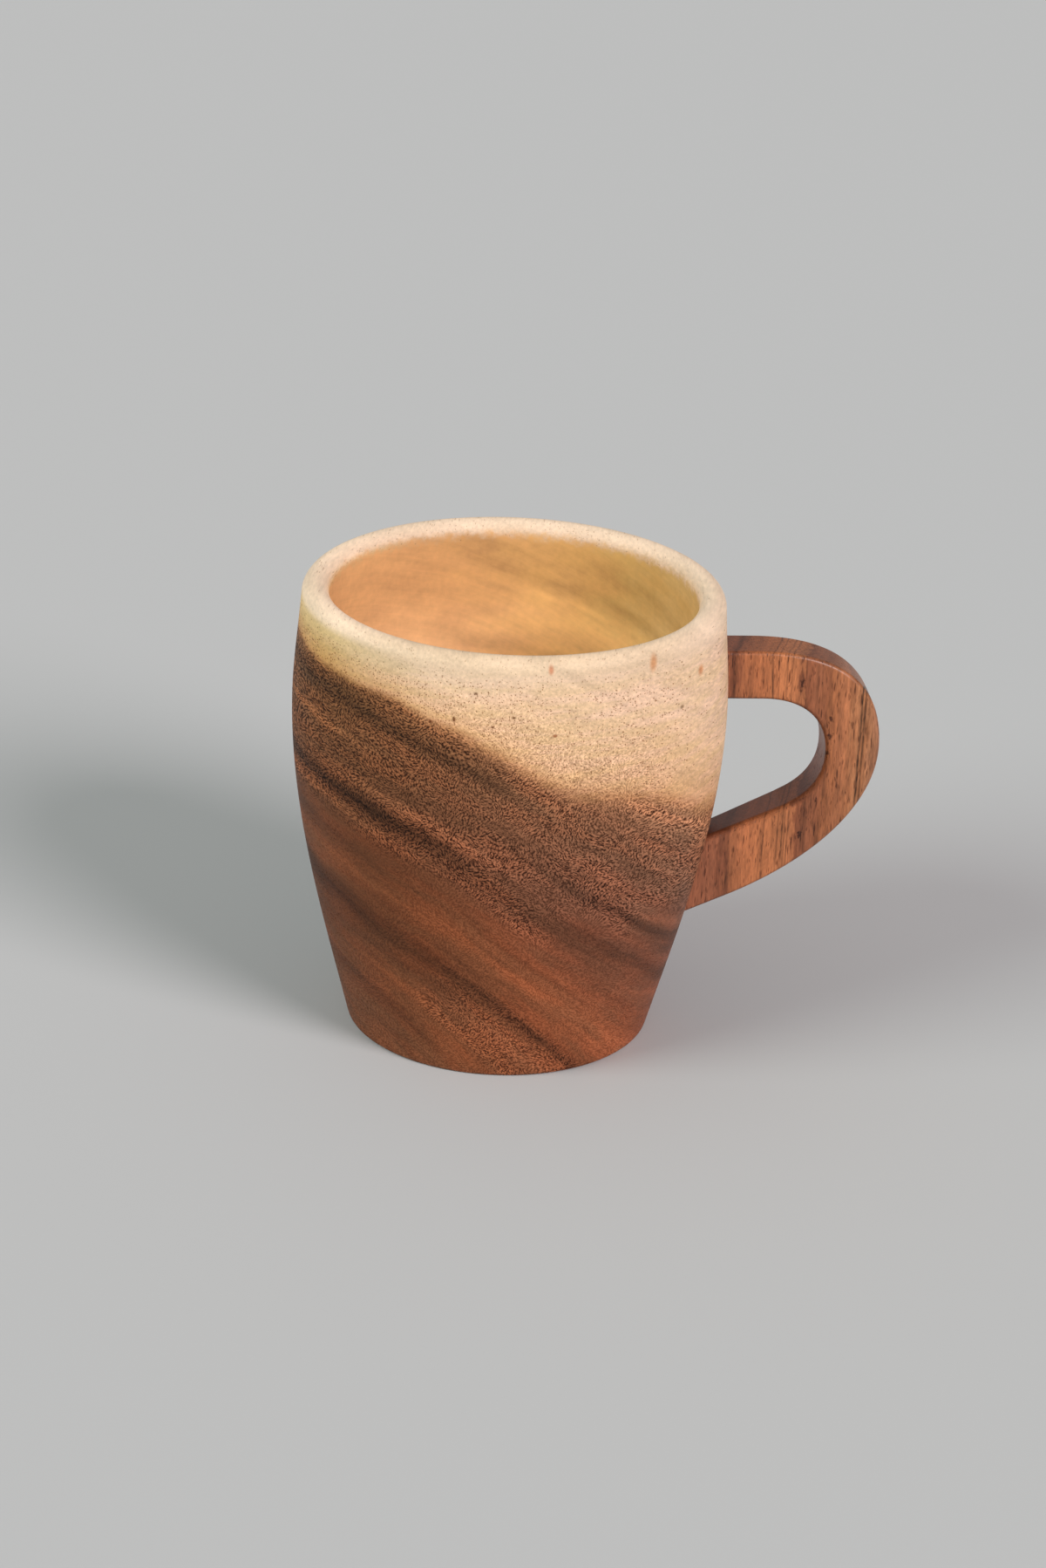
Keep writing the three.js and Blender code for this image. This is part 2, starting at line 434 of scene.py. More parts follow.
def add(tree, kind, inputs=None, **settings):
    """A node with its settings and its inputs, which are sockets or plain values."""
    made = tree.nodes.new(kind)
    for name, value in settings.items():
        setattr(made, name, value)
    for key, value in (inputs or {}).items():
        feed(tree, made.inputs[key], value)
    return made


def maths(tree, operation, *values):
    return add(tree, "ShaderNodeMath", dict(enumerate(values)), operation=operation).outputs[0]


def plus(tree, first, second):
    return maths(tree, "ADD", first, second)


def minus(tree, first, second):
    return maths(tree, "SUBTRACT", first, second)


def times(tree, first, second):
    return maths(tree, "MULTIPLY", first, second)


def larger(tree, first, second):
    return maths(tree, "MAXIMUM", first, second)


def spread(tree, value, factor, offset):
    return maths(tree, "MULTIPLY_ADD", value, factor, offset)


def swing(tree, value, width):
    """A noise from 0 to 1, as a change of a given width that goes both ways."""
    return spread(tree, value, width, -width / 2)


def step(tree, value, low, high, start=0, end=1):
    """A smooth step of a value between two levels, from start to end."""
    inputs = {"Value": value, "From Min": low, "From Max": high, "To Min": start, "To Max": end}
    return add(tree, "ShaderNodeMapRange", inputs, interpolation_type="SMOOTHSTEP").outputs["Result"]


def noise(tree, vector, scale, detail=2, roughness=0.5):
    inputs = {"Vector": vector, "Scale": scale, "Detail": detail, "Roughness": roughness}
    return add(tree, "ShaderNodeTexNoise", inputs).outputs["Fac"]


def noise_vector(tree, vector, scale, detail):
    inputs = {"Vector": vector, "Scale": scale, "Detail": detail}
    return add(tree, "ShaderNodeTexNoise", inputs).outputs["Color"]


def vectors(tree, operation, *values):
    return add(tree, "ShaderNodeVectorMath", dict(enumerate(values)), operation=operation).outputs[0]


def stretch(tree, vector, *scale):
    return vectors(tree, "MULTIPLY", vector, scale)


def drawn_out(tree, timber, share):
    """Coordinates that change less along the fibres, so that a noise is drawn out along them."""
    return stretch(tree, timber, 1, 1, share)


def length(tree, vector):
    return add(tree, "ShaderNodeVectorMath", {0: vector}, operation="LENGTH").outputs["Value"]


def parts(tree, vector):
    return add(tree, "ShaderNodeSeparateXYZ", {0: vector}).outputs


def joined(tree, x, y, z=0):
    return add(tree, "ShaderNodeCombineXYZ", {0: x, 1: y, 2: z}).outputs[0]


def attribute(tree, name):
    return add(tree, "ShaderNodeAttribute", attribute_name=name).outputs["Fac"]


def opaque(colour):
    """A plain colour with its fourth share; a socket stays as it is."""
    return (*colour, 1) if isinstance(colour, tuple) else colour


def mix(tree, share, first, second, blend="MIX"):
    """A mix of two colours; a colour mix has its colours at inputs 6 and 7 and its result at output 2."""
    made = add(tree, "ShaderNodeMix", data_type="RGBA", blend_type=blend)
    feed(tree, made.inputs[0], share)
    feed(tree, made.inputs[6], opaque(first))
    feed(tree, made.inputs[7], opaque(second))
    return made.outputs[2]


def tinted(tree, share, colour, tint):
    return mix(tree, share, colour, tint, "MULTIPLY")


def scaled(tree, colour, factor):
    return add(tree, "ShaderNodeVectorMath", {0: colour, "Scale": factor}, operation="SCALE").outputs[0]


def ramp(tree, value, stops):
    """A colour ramp over the span of its stops, each a level and a screen colour."""
    low, high = stops[0][0], stops[-1][0]
    inputs = {"Value": value, "From Min": low, "From Max": high}
    share = add(tree, "ShaderNodeMapRange", inputs).outputs["Result"]
    made = add(tree, "ShaderNodeValToRGB", {"Fac": share})
    elements = made.color_ramp.elements
    while len(elements) < len(stops):
        elements.new(1)
    for element, (level, colour) in zip(elements, stops):
        element.position = (level - low) / (high - low)
        element.color = opaque(srgb(*colour))
    return made.outputs["Color"]


def group(name, inputs, outputs):
    """An empty shader group: its tree, the sockets that bring its inputs, and those that take its outputs."""
    tree = bpy.data.node_groups.new(name, "ShaderNodeTree")
    for socket, kind in inputs.items():
        tree.interface.new_socket(socket, in_out="INPUT", socket_type=kind)
    for socket, kind in outputs.items():
        tree.interface.new_socket(socket, in_out="OUTPUT", socket_type=kind)
    return tree, tree.nodes.new("NodeGroupInput").outputs, tree.nodes.new("NodeGroupOutput").inputs


def placed(tree, shared, **inputs):
    return add(tree, "ShaderNodeGroup", inputs, node_tree=shared).outputs


def object_place(tree):
    """Object coordinates in millimetres."""
    place = add(tree, "ShaderNodeTexCoord").outputs["Object"]
    return stretch(tree, place, 1 / MM, 1 / MM, 1 / MM)


def timber_coordinates(tree, pith, turn):
    """Object coordinates in millimetres, in a frame whose Z axis is the pith of the tree."""
    place = add(tree, "ShaderNodeTexCoord").outputs["Object"]
    inputs = {"Vector": place, "Location": pith, "Rotation": turn, "Scale": (MM, MM, MM)}
    return add(tree, "ShaderNodeMapping", inputs, vector_type="TEXTURE").outputs[0]


# Wood effects that the timbers share
FLOAT, VECTOR = "NodeSocketFloat", "NodeSocketVector"
# How the worms of the grain drift, in millimetres, and how they turn, wave and fray
WORM_DRIFT = (5, 5, 0)
WORM_TURN = 12
WORM_WAVES = 1.25
WORM_GRIT = 1.6
# How the small vessels fray, and how sharp the edges of worms, vessels and marks are
VESSEL_FRAY = (0.5, 0.5, 0.5)
WORM_EDGE = (0.22, 0.78)
VESSEL_EDGE = (0.42, 0.22)
FLECK_EDGE = (1, 0.2)


def growth_rings():
    """Distance from the pith, a little wavy, with streaks and blotches along the rings and fine fibres."""
    tree, given, taken = group("growth_rings", {"Timber": VECTOR, "Wander": FLOAT},
                               {"Radius": FLOAT, "Streaks": FLOAT, "Blotches": FLOAT, "Fibres": FLOAT})
    timber = given["Timber"]
    across, up, along = parts(tree, timber)
    distance = length(tree, joined(tree, across, up))
    slow = swing(tree, noise(tree, drawn_out(tree, timber, 0.3), scale=0.045, detail=1), width=1)
    quick = swing(tree, noise(tree, drawn_out(tree, timber, 0.2), scale=0.25), width=0.3)
    radius = spread(tree, plus(tree, slow, quick), given["Wander"], distance)
    polar = joined(tree, radius, maths(tree, "ARCTAN2", up, across), along)
    streaks = noise(tree, stretch(tree, polar, 0.45, 3.5, 0.03), scale=1, detail=5, roughness=0.68)
    blotches = noise(tree, stretch(tree, polar, 0.25, 7, 0.06), scale=1, detail=3)
    fibres = noise(tree, drawn_out(tree, timber, 0.12), scale=1.4, detail=3, roughness=0.65)
    tree.links.new(radius, taken["Radius"])
    tree.links.new(streaks, taken["Streaks"])
    tree.links.new(blotches, taken["Blotches"])
    tree.links.new(fibres, taken["Fibres"])
    return tree


def worm_grain():
    """Close worm-like vessels across the fibres, drawn out along them, as a share of dark from 0 to 1."""
    tree, given, taken = group("worm_grain", {"Timber": VECTOR, "Spacing": FLOAT, "Flow": FLOAT},
                               {"Dark": FLOAT})
    timber = given["Timber"]
    drift = noise_vector(tree, stretch(tree, timber, 0.12, 0.12, 0.05), scale=1, detail=1)
    turn = times(tree, noise(tree, drawn_out(tree, timber, 0.3), scale=0.07, detail=1), WORM_TURN)
    waves = add(tree, "ShaderNodeTexGabor", {
        "Vector": vectors(tree, "MULTIPLY_ADD", drift, WORM_DRIFT, timber),
        "Scale": maths(tree, "DIVIDE", 1 / WORM_WAVES, given["Spacing"]),
        "Frequency": WORM_WAVES,
        "Anisotropy": given["Flow"],
        "Orientation": turn,
    }, gabor_type="2D").outputs["Value"]
    grit = noise(tree, drawn_out(tree, timber, 0.12), scale=1.7, detail=3, roughness=0.6)
    level = plus(tree, waves, swing(tree, grit, WORM_GRIT))
    tree.links.new(step(tree, level, *WORM_EDGE), taken["Dark"])
    return tree


def fine_vessels():
    """Small open vessels: dots across the fibres and dashes along them. Cover is the share that is there."""
    tree, given, taken = group("fine_vessels",
                               {"Timber": VECTOR, "Spacing": FLOAT, "Length": FLOAT, "Cover": FLOAT},
                               {"Vessels": FLOAT})
    across, up, along = parts(tree, given["Timber"])
    drawn = joined(tree, across, up, maths(tree, "DIVIDE", along, given["Length"]))
    rough = noise_vector(tree, drawn, scale=2.2, detail=1)
    cells = add(tree, "ShaderNodeTexVoronoi", {
        "Vector": vectors(tree, "MULTIPLY_ADD", rough, VESSEL_FRAY, drawn),
        "Scale": maths(tree, "DIVIDE", 1, given["Spacing"]),
    }).outputs
    there = maths(tree, "GREATER_THAN", given["Cover"], parts(tree, cells["Color"])["X"])
    tree.links.new(times(tree, there, step(tree, cells["Distance"], *VESSEL_EDGE)), taken["Vessels"])
    return tree


def ring_streak():
    """A streak along one ring, from a start to an end along it."""
    tree, given, taken = group("ring_streak", {"Radius": FLOAT, "Along": FLOAT, "Ring": FLOAT, "Width": FLOAT,
                                               "Start": FLOAT, "End": FLOAT, "Fade": FLOAT}, {"Mask": FLOAT})
    away = maths(tree, "ABSOLUTE", minus(tree, given["Radius"], given["Ring"]))
    before = times(tree, given["Fade"], -1)
    begun = step(tree, minus(tree, given["Along"], given["Start"]), before, given["Fade"])
    ended = step(tree, minus(tree, given["End"], given["Along"]), before, given["Fade"])
    across = step(tree, away, given["Width"], 0)
    tree.links.new(times(tree, across, times(tree, begun, ended)), taken["Mask"])
    return tree


def fleck():
    """A small soft mark at one spot."""
    tree, given, taken = group("fleck", {"Place": VECTOR, "Spot": VECTOR, "Size": VECTOR}, {"Mask": FLOAT})
    away = vectors(tree, "SUBTRACT", given["Place"], given["Spot"])
    distance = length(tree, vectors(tree, "DIVIDE", away, given["Size"]))
    tree.links.new(step(tree, distance, *FLECK_EDGE), taken["Mask"])
    return tree


def ring_tone(tree, ring, level, **shares):
    """How light the wood is: a level, lifted by a share of each thing that varies along its rings."""
    for effect, share in shares.items():
        level = spread(tree, ring[effect], share, level)
    return level


def streaked(tree, shared, tone, radius, along, streaks, fade):
    """A tone with streaks along the rings: ring, half width, from and to, how much lighter or darker."""
    for ring, width, start, end, change in streaks:
        streak = placed(tree, shared["ring_streak"], Radius=radius, Along=along, Ring=ring, Width=width,
                        Start=start, End=end, Fade=fade)
        tone = spread(tree, streak["Mask"], change, tone)
    return tone


def flecked(tree, shared, colour, place, flecks):
    """A colour with small marks: spot, half size and tint."""
    for spot, size, tint in flecks:
        mark = placed(tree, shared["fleck"], Place=place, Spot=spot, Size=size)
        colour = tinted(tree, mark["Mask"], colour, tint)
    return colour


# Materials
OPEN_DULLNESS = 0.2
OPEN_BUMP = 0.4


def new_material(name):
    material = bpy.data.materials.new(name)
    material.use_nodes = True
    return material, material.node_tree, material.node_tree.nodes["Principled BSDF"]


def wood_finish(tree, shader, colour, open_grain, depth, shine, roughness):
    """An oiled surface, duller and a little sunk where the grain is open."""
    tree.links.new(colour, shader.inputs["Base Color"])
    shader.inputs["Specular IOR Level"].default_value = shine
    dull = step(tree, open_grain, 0, 1, roughness, roughness + OPEN_DULLNESS)
    tree.links.new(dull, shader.inputs["Roughness"])
    inputs = {"Height": open_grain, "Strength": OPEN_BUMP, "Distance": depth}
    bump = add(tree, "ShaderNodeBump", inputs, invert=True)
    tree.links.new(bump.outputs[0], shader.inputs["Normal"])


# Heartwood by distance from the pith in millimetres, sapwood by distance beyond the border
HEARTWOOD = [
    (97, (112, 70, 50)), (103, (118, 71, 49)), (109, (118, 72, 50)), (114, (112, 68, 48)),
    (119, (102, 61, 42)), (124, (117, 70, 49)), (130, (124, 75, 53)), (137, (118, 71, 51)),
    (142, (118, 71, 51)), (147, (106, 65, 46)), (151, (120, 74, 54)), (157, (117, 74, 54)),
    (163, (122, 78, 57)), (169, (121, 80, 58)), (174, (142, 93, 67)), (181, (160, 110, 80)),
]
SAPWOOD = [
    (-6, (186, 120, 78)), (0, (198, 146, 102)), (3, (213, 168, 125)), (7, (218, 178, 138)),
    (12, (223, 187, 148)), (18, (226, 194, 160)), (30, (228, 198, 166)), (40, (230, 203, 174)),
]
# The bore from the left of the mug to the right, in millimetres
BORE = [
    (-45, (222, 170, 119)), (-10, (222, 172, 116)), (20, (218, 172, 107)), (34, (208, 170, 105)),
    (45, (206, 172, 112)),
]
LIP = (236, 209, 181)
LIP_FRONT = (222, 195, 164)

# Tints of the sapwood in rows, and on the left of the mug
SAP_YELLOW = (1.0, 0.97, 0.89)
SAP_PINK = (1.04, 0.99, 1.03)
SAP_LEFT_TINT = (0.84, 0.79, 0.53)
# Tints of the heartwood in blotches, and near the pith and far from it, each on the left and on the right
HEART_GREY = (0.93, 0.98, 0.97)
HEART_RED = (1.08, 1.0, 0.93)
INNER_LEFT = (0.6, 0.54, 0.37)
INNER_RIGHT = (1.31, 1.13, 0.9)
OUTER_LEFT = (0.84, 0.75, 0.48)
OUTER_RIGHT = (1.06, 1.01, 0.98)
# Tints of the worm grain between its vessels and in them, of the dots, and of the bore deep down
WORM_LIGHT = (1.74, 1.93, 2.12)
WORM_DARK = (0.17, 0.14, 0.12)
DOT_TINT = (0.46, 0.36, 0.29)
BORE_DEEP_TINT = (1.25, 1.35, 1.55)

# Streaks of the heartwood, from and to in degrees about the pith
STREAKS = [
    (169, 5, 62, 95, -0.42), (161.2, 1.4, 73, 95, 0.8), (156.5, 2.4, 28, 54, -0.33), (154, 4, 28, 45, -0.25),
    (160, 3, 43, 54, 0.12), (176, 5, 38, 52, -0.27), (151.8, 2, 55, 74, 0.45), (147.5, 3.4, 62, 86, -0.6),
    (148.5, 2, 38, 50, -0.35), (142.8, 2, 68, 90, 0.55), (128, 6, 69, 90, 0.45), (120.8, 4.5, 57, 80, -0.38),
    (120.9, 2, 28, 58, -0.42), (109, 2.5, 48, 60, 0.2), (101.5, 3, 50, 70, -0.3), (116.5, 6, 30, 50, 0.35),
    (130, 6, 30, 50, 0.2), (142.5, 4, 28, 41, 0.28),
]
STREAK_FADE = 5
# Bands of the bore, written as the streaks are
BORE_BANDS = [
    (182, 7, 48, 67, 0.2), (187, 1.6, 48, 68, 0.13), (190.8, 2.8, 48, 72, -0.16), (194.5, 5, 68, 80, -0.16),
    (170.5, 4, 58, 72, -0.18), (198, 4, 50, 66, -0.09),
]
BAND_FADE = 3
# Small marks on the sapwood
SAP_FLECKS = [
    ((4, -49.4, 107.9), (0.9, 3, 1.6), (0.84, 0.52, 0.42)),
    ((27.9, -41, 106.6), (1.3, 4, 3), (0.84, 0.58, 0.42)),
    ((40.5, -29.5, 100.4), (1.1, 3, 1.8), (0.84, 0.56, 0.42)),
    ((5.4, -50.5, 92.6), (0.9, 3, 0.6), (0.5, 0.32, 0.25)),
    ((-12.5, -48.3, 101.8), (0.7, 3, 0.5), (0.3, 0.24, 0.2)),
    ((-4, -50.2, 96.8), (0.6, 3, 0.5), (0.3, 0.22, 0.16)),
    ((-8.6, -49.8, 94.4), (0.6, 3, 0.4), (0.35, 0.25, 0.18)),
    ((-22.2, -45.5, 94), (0.9, 3, 0.6), (0.3, 0.2, 0.14)),
    ((-17.1, -47.6, 95.3), (0.6, 3, 0.9), (0.35, 0.24, 0.18)),
    ((35.8, -35.8, 93.9), (0.8, 3, 0.7), (0.42, 0.38, 0.32)),
]

# Below, two numbers are a smooth step from one level to another, and two more are what it changes from and to

# How far the rings of the log wander, in millimetres
HEART_WANDER = 3
# The border of the heartwood: its ring across the log and along it, a dip on the left, and how crisp and how
# soft it is by degrees about the pith
BORDER_ACROSS = (92, 120, 174.7, 184.6)
BORDER_ALONG = (10, -35, 0, 13)
BORDER_DIP = (72, 76, 0, 1.6)
BORDER_DIP_END = (82, 79)
BORDER_CRISPNESS = (62, 74, 1, 2.6)
BORDER_SOFTNESS = (62, 48, 2.6, 3.6)
# The tints of the heartwood: by blotches, by degrees about the pith and by distance from it
HEART_BLOTCHES = (0.35, 0.65)
HEART_TO_RIGHT = (84, 42)
HEART_TO_OUTER = (132, 150)
# The worm grain: where it shows, by distance from the pith and by degrees about it, and how close it is
WORM_OUTER = (137, 143)
WORM_RIGHT = (54, 48)
WORM_RIGHT_WITHIN = (156, 150)
WORM_FAR_RIGHT = (47.5, 43.5)
WORM_FAR_RIGHT_WITHIN = (168, 160)
WORM_LOSS_ON_RIGHT = -0.8
WORM_BAND_START = (104, 109)
WORM_BAND_END = (125, 121)
WORM_BAND_RIGHT = (62, 52, 0, 0.8)
WORM_LEAST = 0.22
WORM_BLOTCHES = (0.3, 0.6, 0.65, 1.1)
WORM_SPACING = 0.6
WORM_FLOW = 0.55
# Faint worm grain in the sapwood, by distance beyond the border and by degrees about the pith
FAINT_WORMS = (20, 3, 0, 0.34)
FAINT_WORMS_LEFT_END = (74, 62)
# The dots of the sapwood: more in some rows and near the border, fewer at the lip and on the right
DOT_ROWS = (0.38, 0.62, 0, 0.45)
DOT_BORDER = (24, 0, 0.14, 0.38)
DOT_COVER_AT_LIP = (103, 108, 1, 0.4)
DOT_FADE_AT_LIP = (103, 107, 1, 0.5)
DOT_STRENGTH = (0, 1, 0.95, 0.4)
DOT_SPACING = 0.5
DOT_LENGTH = 6
SMOOTH_RIGHT = (24, 42, 1, 0.2)
# The lip: where its pale wood begins, by height, how it changes to the front, and the painted light on its
# left and painted shade at its back
LIP_START = (101, 108.5, 0, 0.85)
LIP_TO_FRONT = (-22, -44)
LIP_PAINTED_LIGHT_LEFT = (-25, -45, 1, 1.12)
LIP_PAINTED_SHADE_BACK = (20, 45, 1, 0.92)
LIP_CALM = (101, 107, 1, 0.55)
# The sapwood: the tints of its rows, and where it is yellower, by degrees about the pith and by height
SAP_ROWS = (0.36, 0.64)
SAP_LEFT = (70, 80)
SAP_LEFT_TOP = (108.6, 106)
# The bore: where it begins and grows paler, by depth under the lip, and how its bands drift
BORE_START = (1.6, 5)
BORE_DEEP = (12, 38)
BAND_DRIFT = (70, 57, 0, 7.5)
RAGGED_LIP = 5
BORE_MOTTLE = 40


def heart_colour(tree, shared, ring, angle):
    """Brown heartwood in rings, with streaks along them."""
    tone = ring_tone(tree, ring, 0, Streaks=1.25, Blotches=0.3, Fibres=0.5)
    tone = streaked(tree, shared, tone, ring["Radius"], angle, STREAKS, STREAK_FADE)
    heart = scaled(tree, ramp(tree, ring["Radius"], HEARTWOOD), tone)
    blotches = mix(tree, step(tree, ring["Blotches"], *HEART_BLOTCHES), HEART_GREY, HEART_RED)
    right = step(tree, angle, *HEART_TO_RIGHT)
    inner = mix(tree, right, INNER_LEFT, INNER_RIGHT)
    outer = mix(tree, right, OUTER_LEFT, OUTER_RIGHT)
    sides = mix(tree, step(tree, ring["Radius"], *HEART_TO_OUTER), inner, outer)
    return tinted(tree, 1, tinted(tree, 1, heart, blotches), sides)


def worm_strength(tree, ring, angle):
    """How plain the worm grain shows: strong in the outer heartwood and low on the right."""
    radius = ring["Radius"]
    right = times(tree, step(tree, angle, *WORM_RIGHT), step(tree, radius, *WORM_RIGHT_WITHIN))
    far_right = times(tree, step(tree, angle, *WORM_FAR_RIGHT), step(tree, radius, *WORM_FAR_RIGHT_WITHIN))
    kept = spread(tree, larger(tree, right, far_right), WORM_LOSS_ON_RIGHT, 1)
    outer = times(tree, step(tree, radius, *WORM_OUTER), kept)
    band = times(tree, step(tree, radius, *WORM_BAND_START), step(tree, radius, *WORM_BAND_END))
    low_right = times(tree, band, step(tree, angle, *WORM_BAND_RIGHT))
    strength = larger(tree, larger(tree, outer, low_right), WORM_LEAST)
    return times(tree, strength, step(tree, ring["Blotches"], *WORM_BLOTCHES))


def turning_rows(tree, place):
    """Level rows round the mug, as the lathe left them."""
    return noise(tree, stretch(tree, place, 0.06, 0.06, 0.45), scale=1, detail=3, roughness=0.6)


def lip_colour(tree, place):
    """The pale wood of the lip, darker to the front, with painted light on its left and painted shade at its
    back.
    """
    across, back, _ = parts(tree, place)
    pale = mix(tree, step(tree, back, *LIP_TO_FRONT), srgb(*LIP), srgb(*LIP_FRONT))
    # Painted light makes the lip paler on the left, and painted shade makes it darker at the back
    painted_light_and_shade = times(tree, step(tree, across, *LIP_PAINTED_LIGHT_LEFT), step(tree, back, *LIP_PAINTED_SHADE_BACK))
    return scaled(tree, pale, painted_light_and_shade)


def sap_colour(tree, shared, place, ring, beyond, angle, rows):
    """Cream sapwood, yellower on the left and paler at the lip, with a few small marks."""
    height = parts(tree, place)["Z"]
    toned = mix(tree, step(tree, rows, *SAP_ROWS), SAP_YELLOW, SAP_PINK)
    sap = tinted(tree, 1, ramp(tree, beyond, SAPWOOD), toned)
    sap = mix(tree, step(tree, height, *LIP_START), sap, lip_colour(tree, place))
    left = times(tree, step(tree, angle, *SAP_LEFT), step(tree, height, *SAP_LEFT_TOP))
    sap = tinted(tree, left, sap, SAP_LEFT_TINT)
    tone = ring_tone(tree, ring, 0.57, Streaks=0.36, Blotches=0.3)
    tone = spread(tree, rows, factor=0.2, offset=tone)
    fibres = times(tree, swing(tree, ring["Fibres"], width=1), step(tree, height, *LIP_CALM))
    sap = scaled(tree, sap, plus(tree, tone, fibres))
    return flecked(tree, shared, sap, place, SAP_FLECKS)


def bore_colour(tree, shared, place, ring, angle, depth):
    """The orange inside of the mug, yellower on the right and further down, with bands along its rings."""
    mottle = noise(tree, stretch(tree, place, 1, 1, 2.5), scale=0.07, detail=3)
    across = plus(tree, parts(tree, place)["X"], swing(tree, mottle, BORE_MOTTLE))
    grit = noise(tree, place, scale=0.5, detail=3, roughness=0.6)
    tone = spread(tree, mottle, factor=0.5, offset=0.4)
    tone = spread(tree, grit, factor=0.3, offset=tone)
    radius = minus(tree, ring["Radius"], step(tree, angle, *BAND_DRIFT))
    tone = streaked(tree, shared, tone, radius, angle, BORE_BANDS, BAND_FADE)
    bore_wood = scaled(tree, ramp(tree, across, BORE), ring_tone(tree, ring, tone, Streaks=0.4))
    return tinted(tree, step(tree, depth, *BORE_DEEP), bore_wood, BORE_DEEP_TINT)


def beyond_border(tree, timber, ring, angle):
    """Distance outwards from the border of the heartwood, drawn together where the border is crisp."""
    across, _, along = parts(tree, timber)
    border = minus(tree, step(tree, across, *BORDER_ACROSS), step(tree, along, *BORDER_ALONG))
    dip = times(tree, step(tree, angle, *BORDER_DIP), step(tree, angle, *BORDER_DIP_END))
    distance = minus(tree, ring["Radius"], minus(tree, border, dip))
    return times(tree, distance, step(tree, angle, *BORDER_CRISPNESS))


def two_tone_wood(shared):
    """Dark heartwood low on the mug and cream sapwood above it, with a soft border along one growth ring."""
    material, tree, shader = new_material("two_tone_wood")
    place = object_place(tree)
    out, _, height = parts(tree, place)
    timber = timber_coordinates(tree, PITH, LOG_TURN)
    across, up, _ = parts(tree, timber)
    angle = maths(tree, "DEGREES", maths(tree, "ARCTAN2", up, across))
    ring = placed(tree, shared["growth_rings"], Timber=timber, Wander=HEART_WANDER)
    rows = turning_rows(tree, place)

    depth = attribute(tree, "depth")
    ragged = noise(tree, place, scale=0.5, detail=3, roughness=0.6)
    inside = step(tree, plus(tree, depth, swing(tree, ragged, RAGGED_LIP)), *BORE_START)
    outside = minus(tree, 1, inside)
    beyond = beyond_border(tree, timber, ring, angle)
    softness = step(tree, angle, *BORDER_SOFTNESS)
    heart = times(tree, step(tree, beyond, softness, times(tree, softness, -1)), outside)

    sap = sap_colour(tree, shared, place, ring, beyond, angle, rows)
    pale = mix(tree, inside, sap, bore_colour(tree, shared, place, ring, angle, depth))
    wood = mix(tree, heart, pale, heart_colour(tree, shared, ring, angle))

    rough = times(tree, outside, step(tree, out, *SMOOTH_RIGHT))
    worms = placed(tree, shared["worm_grain"], Timber=timber, Spacing=WORM_SPACING, Flow=WORM_FLOW)["Dark"]
    faint = times(tree, step(tree, beyond, *FAINT_WORMS), step(tree, angle, *FAINT_WORMS_LEFT_END))
    strong = times(tree, heart, worm_strength(tree, ring, angle))
    shown = larger(tree, strong, times(tree, faint, rough))
    wood = tinted(tree, shown, wood, mix(tree, worms, WORM_LIGHT, WORM_DARK))

    in_rows = plus(tree, step(tree, rows, *DOT_ROWS), step(tree, beyond, *DOT_BORDER))
    cover = times(tree, times(tree, in_rows, rough), step(tree, height, *DOT_COVER_AT_LIP))
    dots = placed(tree, shared["fine_vessels"], Timber=timber, Spacing=DOT_SPACING, Length=DOT_LENGTH,
                  Cover=cover)["Vessels"]
    dots = times(tree, dots, step(tree, height, *DOT_FADE_AT_LIP))
    wood = tinted(tree, times(tree, dots, step(tree, heart, *DOT_STRENGTH)), wood, DOT_TINT)

    open_grain = larger(tree, times(tree, worms, shown), dots)
    wood_finish(tree, shader, wood, open_grain, depth=0.12 * MM, shine=0.12, roughness=0.48)
    return material


# The plank of the handle, by places on its front in millimetres out from the axis of the mug
PLANK = [
    (44, (148, 88, 60)), (50, (152, 92, 63)), (52.5, (132, 77, 51)), (54, (160, 98, 63)),
    (58, (180, 110, 69)), (62, (186, 115, 72)), (65, (182, 114, 72)), (68, (178, 111, 71)),
    (68.8, (134, 78, 50)), (72, (153, 93, 62)), (74.5, (142, 85, 54)), (76.5, (160, 98, 61)),
    (78.5, (171, 107, 70)), (81, (169, 107, 69)), (82.8, (172, 114, 76)), (84, (152, 96, 60)),
    (85.5, (174, 117, 80)), (87, (160, 107, 76)), (88, (152, 101, 71)),
]
# Upright lines on it: place, half width, from and to in height, how much lighter or darker
PLANK_LINES = [
    (61.3, 0.35, 20, 100, -0.4), (62.7, 0.3, 84, 97, -0.45), (64.6, 0.35, 20, 100, -0.35),
    (65.8, 0.35, 20, 100, -0.4), (66.4, 0.3, 40, 56, -0.4), (67.2, 0.3, 40, 56, -0.4),
    (53.5, 0.8, 34, 48, -0.35), (52.2, 1, 82, 97, -0.3), (83.2, 0.4, 55, 92, -0.75), (84, 0.4, 55, 92, -0.6),
    (85, 0.3, 60, 85, -0.2), (79.5, 1, 60, 85, 0.12), (78, 6, 36, 61, -0.2), (70.5, 3, 47, 60, -0.2),
]
LINE_FADE = 3
# Dark knots in it beside the opening: spot and half size
PLANK_KNOTS = [
    ((75.8, -6, 79), (0.9, 4, 1.2)), ((75.9, -6, 74.2), (1, 4, 1.3)), ((75.7, -6, 70), (0.8, 4, 1)),
    ((68.4, -6, 87.5), (0.7, 4, 1.8)), ((70.3, -6, 49), (0.6, 4, 1.2)), ((73.5, -6, 58), (0.7, 4, 1.2)),
]
KNOT_TINT = (0.24, 0.17, 0.14)
KNOT_RAGGED = (2.4, 0, 5)
NOISE_MIDDLE = (0.5, 0.5, 0.5)
DASH_TINT = (0.34, 0.27, 0.23)
DASH_STRENGTH = 0.95
SHORT_DASH_STRENGTH = 0.7
DASH_COVER = (0.3, 0.7, 0.08, 0.4)
DASH_LOSS_ON_END_GRAIN = -0.8
PLANK_WANDER = 2
PLANK_RAGGED = 6
# The darker end grain, with painted shade on the end grain that faces into the opening
END_GRAIN_AND_SHADE_TINT = (0.26, 0.2, 0.16)


